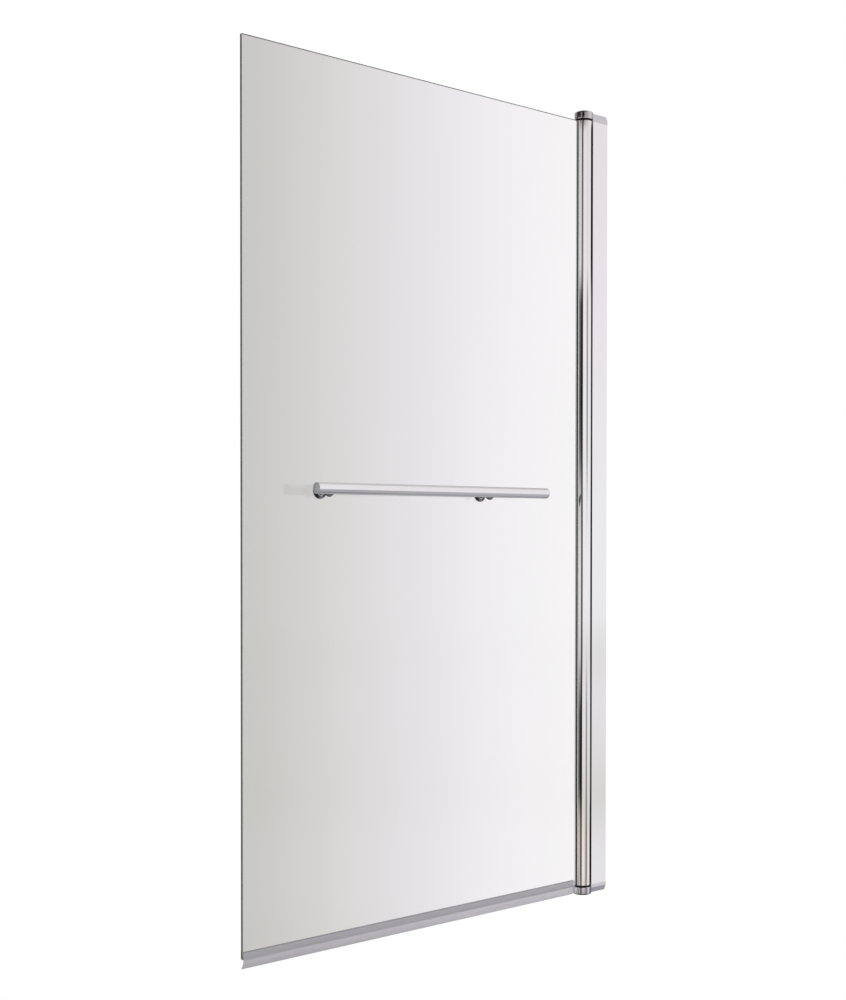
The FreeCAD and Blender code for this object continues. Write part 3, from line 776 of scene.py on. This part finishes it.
def clear_vinyl(name, colour, clearness, roughness):
    """Soft clear vinyl: lets light through with a milky cast."""
    finish = Finish(name)
    flow = finish.noise(240.0, detail=3.0, stretch=(0.06, 1.0, 1.0))
    skin = finish.noise(1500.0, detail=2.0)
    finish.principled(Base_Color=finish.tone(flow, dulled(colour, 0.95), colour), IOR=1.5,
                      Transmission_Weight=clearness, Roughness=roughness + skin * 0.06,
                      Normal=finish.bump(flow, distance=0.00005, strength=0.3))
    return finish.material


def float_glass(name):
    """Clear toughened glass with faint roller wave and a trace of wiping."""
    finish = Finish(name)
    wave = finish.noise(3.0, detail=1.0, stretch=(1.0, 1.0, 2.2))
    smear = finish.noise(9.0, detail=5.0, stretch=(1.0, 1.0, 0.4))
    finish.principled(Base_Color=finish.tone(smear, (0.985, 0.995, 0.99), 1.0), IOR=1.52,
                      Transmission_Weight=1.0, Roughness=smear * 0.004,
                      Normal=finish.bump(wave, distance=0.00004, strength=0.5))
    return finish.material


def ground_edge(name, colour, clearness, arris):
    """Edge of the glass as the grinding belt leaves it: satin, with the arris in front painted
    paler as a highlight.
    """
    finish = Finish(name)
    strokes = finish.noise(1600.0, detail=3.0, stretch=(1.0, 0.3, 1.0))
    cloud = finish.noise(30.0, detail=3.0)
    tone = finish.tone(strokes * 0.5 + cloud * 0.5, dulled(colour, 0.9), colour)
    # painted highlight: the arris on the camera's side is paler than the rest of the edge
    tone = finish.blend(finish.front(2.3 * MM, 2.8 * MM), tone, rgba(arris))
    finish.principled(Base_Color=tone, IOR=1.52, Transmission_Weight=clearness,
                      Roughness=0.42 + strokes * 0.16,
                      Normal=finish.bump(strokes, distance=0.00003, strength=0.4))
    return finish.material


BRIGHT = (0.90, 0.895, 0.905)
CHROME = (0.885, 0.885, 0.905)
CAP_CHROME = (0.66, 0.645, 0.69)
PALE_VINYL = (0.8, 0.82, 0.83)
# the pale lip colour paints a highlight on the gasket's lip on the camera's side
LIP_HIGHLIGHT = (0.62, 0.64, 0.62)
# inside this seat radius the post's colour is darkened as painted shade
SHADED_SEAT_RADIUS = 16.92 * MM
finishes = {
    "wall_channel": mill_aluminium("mill_aluminium"),
    # the post's finish carries painted shade in its seat
    "post_profile": drawn_aluminium("bright_post", BRIGHT, roughness=0.05, seat=SHADED_SEAT_RADIUS),
    "barrel_wipers": moulded("wiper_rubber", (0.035, 0.035, 0.035), roughness=0.55),
    "end_caps": plated("cap_chrome", CAP_CHROME, roughness=0.025),
    "end_cap_screws": turned_steel("screw_steel"),
    "pivot_bushes": moulded("acetal", (0.78, 0.77, 0.74), roughness=0.4),
    "clamp_screws": turned_steel("clamp_steel"),
    "clamp_nuts": turned_steel("nut_steel"),
    "clamp_screw_covers": plated("cover_plate", (0.83, 0.83, 0.85), roughness=0.12),
    "hinge_barrel": drawn_aluminium("bright_barrel", BRIGHT, roughness=0.015),
    # the gasket's lip on the camera's side carries a painted highlight
    "glass_gasket": moulded("gasket_vinyl", (0.045, 0.06, 0.05), roughness=0.5, lip=LIP_HIGHLIGHT),
    "glass_panel": float_glass("float_glass"),
    "pivot_studs": turned_steel("stud_steel"),
    "pivot_stud_screws": turned_steel("stud_screw_steel"),
    "thrust_washers": moulded("black_nylon", (0.006, 0.006, 0.006), roughness=0.7),
    "bottom_seal": clear_vinyl("seal_vinyl", (0.72, 0.71, 0.75), clearness=0.62, roughness=0.12),
    "rail_tube": plated("rail_chrome", CHROME, roughness=0.045),
    "rail_end_caps": moulded("satin_grey", (0.36, 0.385, 0.385), roughness=0.3),
    # painted shade: the rail posts' and saddles' chrome is dimmed far below bright plate, so their
    # flanges and collars render dark
    "rail_posts": plated("post_chrome", (0.36, 0.36, 0.38), roughness=0.08),
    "rail_saddles": plated("saddle_chrome", (0.16, 0.16, 0.17), roughness=0.08),
    "glass_bushes": clear_vinyl("bush_vinyl", PALE_VINYL, clearness=0.6, roughness=0.2),
    "back_pads": clear_vinyl("pad_vinyl", PALE_VINYL, clearness=0.6, roughness=0.2),
    "back_discs": plated("disc_chrome", CHROME, roughness=0.06),
    "glass_fixing_screws": turned_steel("fixing_steel"),
}
# the glass edge's finish, with a painted highlight on the front arris
edge_with_arris_highlight = ground_edge("ground_edge", (0.14, 0.155, 0.14), clearness=0.3,
                         arris=(0.62, 0.64, 0.61))


# ---------------------------------------------------------------- the pieces
def build_drawn(draw):
    """Gasket, wipers and seal, drawn from their sections."""
    gasket = draw.run(loop_mesh(gasket_section()), Length=2 * GLASS_TOP,
                      Place=(0.0, 0.0, -GLASS_TOP))
    finished("gasket", gasket, "glass_gasket")
    wipers = draw.run(loop_mesh(wiper_section(-1), wiper_section(1)), Length=2 * POST_TOP,
                      Place=(0.0, 0.0, -POST_TOP))
    finished("wipers", wipers, "barrel_wipers")
    seal = draw.run(loop_mesh(seal_section()), Length=SEAL_END_X - SEAL_START_X,
                    Place=(SEAL_START_X, 0.0, -GLASS_TOP), Turn=ALONG_X)
    finished("seal", seal, "bottom_seal")


def build_turned(draw, row):
    """Caps, washers, covers and the towel rail's fittings, each repeated in its places."""
    both_ends = {"Count": 1, "Both_Ends": True}
    screws = {"Count": 2, "Step": (0.0, 2 * CAP_SCREW_Y, 0.0), "Both_Ends": True}
    clamps = {"Count": 3, "Step": (0.0, 0.0, CLAMP_SPACING)}
    brackets = {"Count": 2, "Step": (BRACKET_SPACING, 0.0, 0.0)}
    for name, mesh, places, node in (
            ("caps", cap_mesh(draw), both_ends, "end_caps"),
            ("cap_screws", cap_screw_mesh(), screws, "end_cap_screws"),
            ("washers", washer_mesh(), both_ends, "thrust_washers"),
            ("clamp_covers", cover_mesh(), clamps, "clamp_screw_covers"),
            ("posts_of_rail", rail_post_mesh(), brackets, "rail_posts"),
            ("saddles", saddle_mesh(), brackets, "rail_saddles"),
            ("discs", disc_mesh(), brackets, "back_discs")):
        finished(name, row.run(mesh, **places), node)
    ends = joined(rail_cap_mesh(RAIL_START_X, -1), rail_cap_mesh(RAIL_END_X, 1))
    finished("rail_ends", ends, "rail_end_caps")


def build_softened():
    """Copies of the long extrusions with their sharp edges taken off."""
    for node, width in (("hinge_barrel", 0.35), ("post_profile", 0.2), ("wall_channel", 0.3)):
        finished("soft_" + node, softened(node, width * MM), node)


def build_glass():
    """The pane, in two finishes."""
    data = glass_mesh()
    for material in (finishes["glass_panel"], edge_with_arris_highlight):
        data.materials.append(material)
    shown("pane", data, "glass_panel")


for cad_node, material in finishes.items():
    for place in nodes[cad_node].material_slots:
        place.material = material
draw_tree, row_tree = drawn_section(), rows()
build_drawn(draw_tree)
build_turned(draw_tree, row_tree)
build_softened()
build_glass()


# ---------------------------------------------------------------- floor, light and camera
def floor_mesh(centre, level, radius):
    """A round level sheet of rings and spokes."""
    rings, spokes = 24, 96
    mesh = bmesh.new()
    hub = mesh.verts.new((centre.x, centre.y, level))
    last = None
    for ring in range(1, rings + 1):
        r = radius * ring / rings
        angles = [2 * math.pi * i / spokes for i in range(spokes)]
        row = [mesh.verts.new((centre.x + r * math.cos(angle), centre.y + r * math.sin(angle),
                               level)) for angle in angles]
        for i in range(spokes):
            j = (i + 1) % spokes
            if last is None:
                mesh.faces.new((hub, row[i], row[j]))
            else:
                mesh.faces.new((last[i], row[i], row[j], last[j]))
        last = row
    return mesh_data(mesh, "floor")


def build_floor():
    """A pale round floor, as far below the screen as a room's floor is below a bath's rim."""
    drop, radius = 0.56, 1.02
    centre = (cad_low + cad_high) / 2
    finish = Finish("pale_floor")
    grain = finish.noise(40.0, detail=4.0)
    board = finish.node("ShaderNodeBsdfPrincipled", {},
                        {"Base Color": finish.tone(grain, 0.80, 0.84),
                         "Roughness": 0.7 + grain * 0.1})
    clear = finish.node("ShaderNodeBsdfTransparent")
    fade_start, fade_end = radius * 0.72, radius * 0.99
    edge = finish.step(finish.from_line(centre.x, centre.y), fade_start, fade_end)
    mirrored = finish.past_mirror(finish.node("ShaderNodeLightPath"))
    gone = edge + mirrored - edge * mirrored
    mixed = finish.node("ShaderNodeMixShader", {}, {0: gone, 1: board, 2: clear})
    finish.feed(finish.output.inputs["Surface"], mixed)
    floor = bpy.data.objects.new("floor", floor_mesh(centre, cad_low.z - drop, radius))
    floor.data.materials.append(finish.material)
    bpy.context.scene.collection.objects.link(floor)


def heading_ramp(tree, turn, *stops):
    """A colour by compass heading, with its stops in degrees from -180 to 180."""
    return tree.ramp(turn, [((angle + 180) / 360, value) for angle, value in stops])


def mirrored_room(tree, turn, slope, height):
    """What metal reflects: a photographer's tent of pale cloth with dark flags and greys."""

    def by_heading(*stops):
        return heading_ramp(tree, turn, *stops)

    def by_height(*stops):
        return tree.ramp(height, [((angle + 90) / 180, value) for angle, value in stops])

    def past(low, high):
        return tree.step(slope, math.radians(low), math.radians(high))

    white = (0.93, 0.925, 0.935)
    black = 0.008
    deep = (0.025, 0.045, 0.035)
    brown = (0.05, 0.035, 0.03)
    corner = [(-50, deep), (-22, deep), (-12, (0.16, 0.19, 0.17)), (4, 0.42), (14, 0.7)]
    upper = by_heading(
        (-180, (0.92, 0.91, 0.91)), (-150, white), (-137, white), (-132, (0.45, 0.45, 0.44)),
        (-124, (0.42, 0.40, 0.38)), (-120, 0.03), (-111, 0.03), (-108, (0.8, 0.79, 0.78)),
        (-68, (0.8, 0.81, 0.80)), *corner, (72, 0.7), (84, black), (112, black), (118, 0.7),
        (124, white), (158, white), (164, (0.78, 0.77, 0.77)), (170, (0.78, 0.77, 0.77)),
        (179, (0.92, 0.91, 0.91)))
    sunlit = by_heading(
        (-180, white), (-136, white), (-132, (0.17, 0.17, 0.14)), (-120, (0.12, 0.11, 0.1)),
        (-112, (0.10, 0.07, 0.07)), (-108, (0.78, 0.75, 0.75)), (-60, 0.92), *corner,
        (20, black), (102, black), (108, 0.5), (118, white), (179, white))
    shaded = by_heading(
        (-180, (0.60, 0.57, 0.55)), (-170, white), (-132, white), (-129, black),
        (-116, (0.02, 0.016, 0.014)), (-101, black), (-96, 0.04), (-90, (0.22, 0.22, 0.21)),
        (-84, 0.12), (-76, (0.3, 0.31, 0.3)), (-62, (0.4, 0.42, 0.4)), *corner, (20, black),
        (101, black), (107, 0.65), (116, white), (158, white), (163, (0.30, 0.29, 0.28)),
        (175, (0.30, 0.29, 0.28)), (179, (0.60, 0.57, 0.55)))
    crown = by_heading(
        (-180, (0.64, 0.62, 0.60)), (-152, (0.46, 0.44, 0.42)), (-142, (0.25, 0.23, 0.21)),
        (-136, black), (-119, black), (-110, (0.34, 0.31, 0.28)), (-98, (0.24, 0.21, 0.2)),
        (-90, brown), (-52, brown), (-28, 0.34), (10, 0.55), (60, 0.2), (96, 0.6), (115, white),
        (150, white), (179, (0.64, 0.62, 0.60)))
    lower = by_heading(
        (-180, (0.42, 0.34, 0.28)), (-173, (0.7, 0.65, 0.6)), (-165, (0.86, 0.82, 0.78)),
        (-156, white), (-132, white), (-129, (0.3, 0.25, 0.2)), (-124, (0.17, 0.14, 0.11)),
        (-108, (0.15, 0.09, 0.055)), (-104, (0.55, 0.42, 0.34)), (-92, (0.75, 0.65, 0.56)),
        (-80, (0.8, 0.8, 0.79)), (-60, (0.85, 0.86, 0.86)), *corner, (68, 0.7), (78, black),
        (106, black), (112, (0.25, 0.22, 0.21)), (118, 0.8), (123, white), (148, white),
        (156, (0.7, 0.66, 0.63)), (161, (0.34, 0.27, 0.21)), (172, (0.28, 0.23, 0.18)),
        (179, (0.42, 0.34, 0.28)))
    heel = by_heading(
        (-180, (0.44, 0.42, 0.41)), (-164, (0.66, 0.63, 0.62)), (-151, (0.76, 0.73, 0.72)),
        (-138, (0.85, 0.82, 0.81)), (-131, (0.5, 0.48, 0.47)), (-126, (0.28, 0.27, 0.26)),
        (-113, (0.16, 0.15, 0.14)), (-105, (0.62, 0.60, 0.58)), (-98, (0.62, 0.60, 0.58)),
        (-88, (0.38, 0.37, 0.36)), (-72, (0.75, 0.74, 0.74)), (-56, white),
        (-38, (0.85, 0.85, 0.86)), (-17, 0.5), (20, 0.3), (100, 0.25), (113, 0.15), (122, 0.5),
        (128, white), (151, white), (160, (0.5, 0.48, 0.47)), (168, (0.30, 0.28, 0.27)),
        (179, (0.44, 0.42, 0.41)))
    curtain = by_height(
        (-13.6, 0.1), (-12.8, 0.25), (-12, 0.6), (-10.5, 1.0), (-7, 0.95), (-5.6, 0.5),
        (-4.8, 0.05), (-1, 0.0), (1.2, 0.3), (3, 0.9), (5, 1.0), (8.5, 0.95))
    around = tree.blend(curtain, sunlit, shaded)
    for low, high, band in ((8.8, 10.4, upper), (15.4, 15.7, crown), (-9.8, -11.8, lower),
                            (-13.5, -13.7, heel)):
        around = tree.blend(past(low, high), around, band)
    over = by_height(
        (-90, 0.05), (-66, (0.08, 0.075, 0.075)), (-56, (0.15, 0.145, 0.14)),
        (-50, (0.41, 0.41, 0.42)), (-40, (0.50, 0.50, 0.53)), (-18, (0.57, 0.57, 0.60)),
        (-15.5, (0.80, 0.79, 0.78)), (-14.2, (0.95, 0.94, 0.94)), (-12.3, (0.94, 0.93, 0.94)),
        (-10.4, (0.80, 0.79, 0.76)), (-8.9, (0.88, 0.87, 0.85)), (-6.6, (0.93, 0.92, 0.93)),
        (-4.65, (0.87, 0.865, 0.84)), (-3.6, 0.98), (-2.7, 1.0), (1, 1.0),
        (5.1, (0.99, 0.97, 0.99)), (9, (0.98, 0.94, 0.97)), (11.6, (0.95, 0.92, 0.94)),
        (14.2, (0.94, 0.905, 0.91)), (24, (0.94, 0.92, 0.91)), (44, (0.98, 0.95, 0.93)),
        (62, (0.93, 0.91, 0.93)), (70, (0.10, 0.09, 0.08)), (90, (0.05, 0.045, 0.04)))
    steep = tree.step(tree.function("ABSOLUTE", height - 0.5), 20 / 180, 34 / 180)
    room = tree.multiplied(tree.blend(steep, around, rgba(white)), over)
    aloft = by_heading(
        (-180, 0.10), (-60, 0.05), (-40, 0.5), (20, 0.85), (40, 0.72), (60, 0.6), (75, 0.66),
        (100, 0.85), (125, 1.0), (160, 1.0), (178, 0.10))
    doorway = by_heading((-180, 0.10), (24, 0.10), (34, 1.0), (130, 1.0), (142, 0.55), (160, 0.10))
    for low, high, shade in ((17, 24, aloft), (-20, -27, doorway)):
        room = tree.blend(past(low, high), room, tree.multiplied(room, shade))
    return room


def seen_through(tree, turn):
    """What the glass shows behind it: a pale room, darker to the left of the camera's view."""
    return heading_ramp(
        tree, turn, (-180, 0.86), (-70, 0.80), (22, 0.80), (31, (0.54, 0.53, 0.52)),
        (33, (0.56, 0.55, 0.53)), (37, (0.70, 0.68, 0.68)), (41, (0.83, 0.80, 0.84)),
        (43, (0.89, 0.87, 0.89)), (46, (0.94, 0.92, 0.93)), (60, (0.93, 0.92, 0.93)), (179, 0.86))


def build_world():
    """White to the camera, pale grey as light, with a room for mirrors and one behind glass."""
    world = bpy.data.worlds.new("tent")
    bpy.context.scene.world = world
    tree = ShaderTree(world, "ShaderNodeOutputWorld")
    east, north, up = tree.axes(tree.node("ShaderNodeTexCoord").outputs["Generated"])
    turn = tree.function("ARCTAN2", east, north) / (2 * math.pi) + 0.5
    slope = tree.function("ARCSINE", up)
    height = slope / math.pi + 0.5
    path = tree.node("ShaderNodeLightPath")
    seen = tree.blend(path.outputs["Is Transmission Ray"], rgba(0.78), seen_through(tree, turn))
    reflected = tree.past_mirror(path) * tree.level(path.outputs["Is Glossy Ray"])
    seen = tree.blend(reflected, seen, mirrored_room(tree, turn, slope, height))
    seen = tree.blend(path.outputs["Is Camera Ray"], seen, rgba(1.0))
    sky = tree.node("ShaderNodeBackground", {}, {"Color": seen, "Strength": 1.0})
    tree.feed(tree.output.inputs["Surface"], sky)


def build_lamp(name, place, side, power):
    """A square soft box, aimed at the screen, that lights without showing in the mirrors."""
    aim = Vector((-0.4, 0.0, 0.0))
    data = bpy.data.lights.new(name, "AREA")
    data.shape = "SQUARE"
    data.size = side
    data.energy = power
    lamp = bpy.data.objects.new(name, data)
    lamp.location = place
    lamp.rotation_mode = "QUATERNION"
    lamp.rotation_quaternion = (aim - Vector(place)).to_track_quat("-Z", "Y")
    lamp.visible_glossy = False
    lamp.visible_transmission = False
    bpy.context.scene.collection.objects.link(lamp)


def build_camera():
    """Eye level just below the rail, to the left of the screen's free edge."""
    place = Vector((-1.98204, -1.85820, -0.04908))
    yaw, pitch, roll = math.radians(39.83), math.radians(-0.822), 0.00067
    picture, focal, rise = 1000, 1447.77, 51.77
    forward = Vector((math.sin(yaw) * math.cos(pitch), math.cos(yaw) * math.cos(pitch),
                      math.sin(pitch)))
    data = bpy.data.cameras.new("camera")
    data.sensor_width = 36.0
    data.lens = data.sensor_width * focal / picture
    data.shift_y = rise / picture
    camera = bpy.data.objects.new("camera", data)
    camera.location = place
    camera.rotation_mode = "QUATERNION"
    rolled = Quaternion((0.0, 0.0, 1.0), roll)
    camera.rotation_quaternion = forward.to_track_quat("-Z", "Y") @ rolled
    bpy.context.scene.collection.objects.link(camera)
    bpy.context.scene.camera = camera


build_floor()
build_world()
build_lamp("soft_box_left", (-2.6, -2.4, 1.9), side=1.6, power=30.0)
build_lamp("soft_box_right", (1.6, -1.8, 1.4), side=1.4, power=16.0)
build_camera()
bpy.context.scene.view_settings.view_transform = "Standard"
